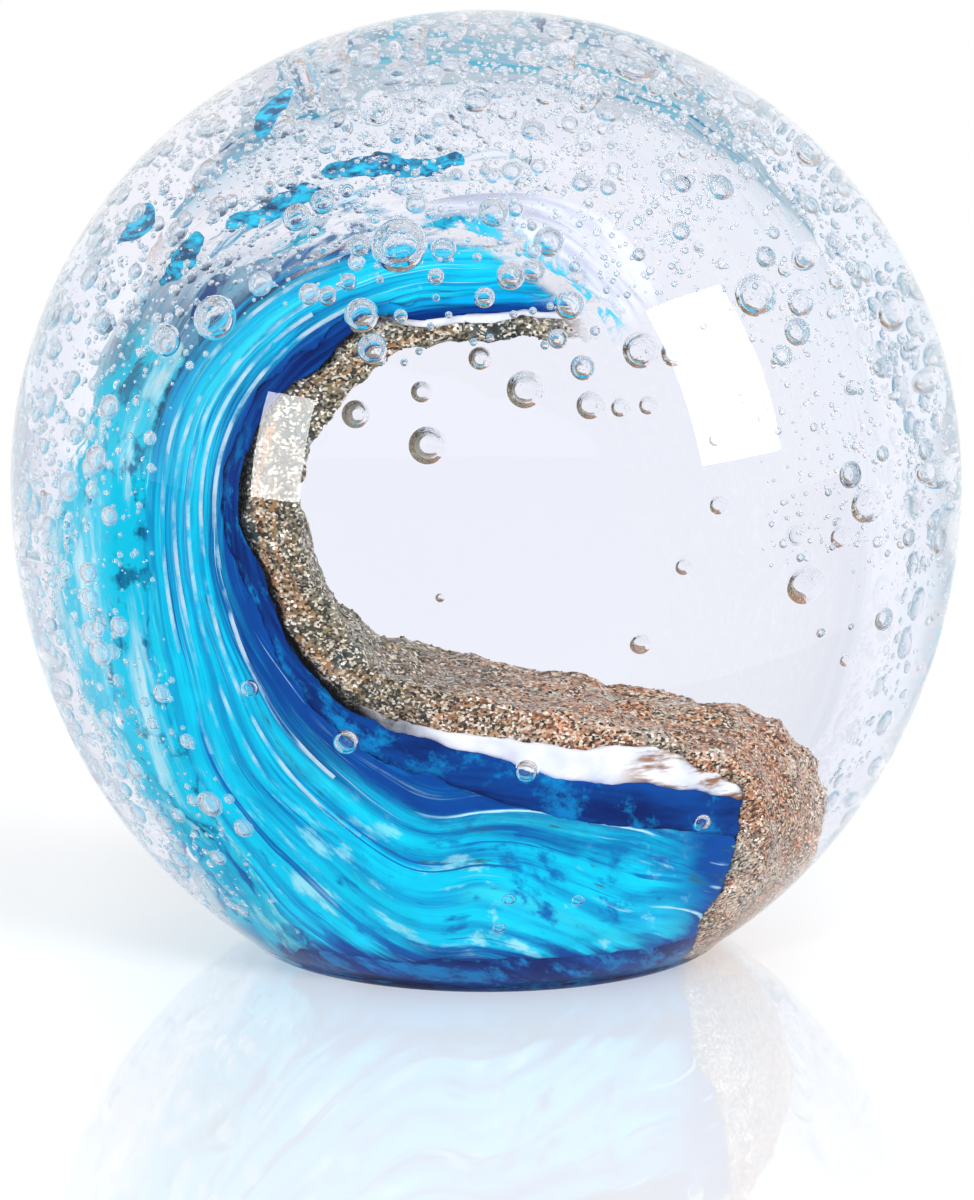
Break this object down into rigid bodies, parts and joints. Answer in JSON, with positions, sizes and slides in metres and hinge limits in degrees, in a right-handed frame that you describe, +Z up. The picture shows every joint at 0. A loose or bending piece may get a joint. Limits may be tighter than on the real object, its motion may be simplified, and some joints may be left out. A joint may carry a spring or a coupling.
{
  "type": "glass wave sculpture",
  "caption": "Clear crystal ball ground flat underneath, with a curling turquoise wave, sand and air bubbles sealed inside; a desk ornament and paperweight.",
  "frame": {"origin": "middle of the flat base, on the surface it stands on", "axes": "+Z up, +X towards the curl's open side (right in the picture), -Y towards the viewer"},
  "size_m": [0.095, 0.08, 0.0945],
  "materials": {
    "clear_crystal": "polished clear crystal",
    "turquoise_glass": "streaked turquoise glass, fused in",
    "cobalt_glass": "dark cobalt glass, fused in",
    "white_glass": "opal white glass, fused in",
    "sand_grains": "sparkling copper-gold and grey glass grains, fused in",
    "aqua_glass": "pale bubbly aqua glass, fused in",
    "silver_glass": "silvery white folded glass, fused in",
    "air_bubble": "air trapped in clear glass"
  },
  "bodies": {
    "root": {"clear_casing": "clear_crystal", "turquoise_wave": "turquoise_glass", "cobalt_lining": "cobalt_glass", "cobalt_foot": "cobalt_glass", "surf_line": "white_glass", "sand_lining": "sand_grains", "sand_shore": "sand_grains", "aqua_back": "aqua_glass", "crest_veil": "silver_glass", "crest_shreds": "turquoise_glass", "white_strands": "white_glass", "barrel_bubbles": "air_bubble", "back_foam": "air_bubble", "crest_foam": "air_bubble", "spray_bubbles": "air_bubble", "water_bubbles": "air_bubble"}
  },
  "joints": []
}
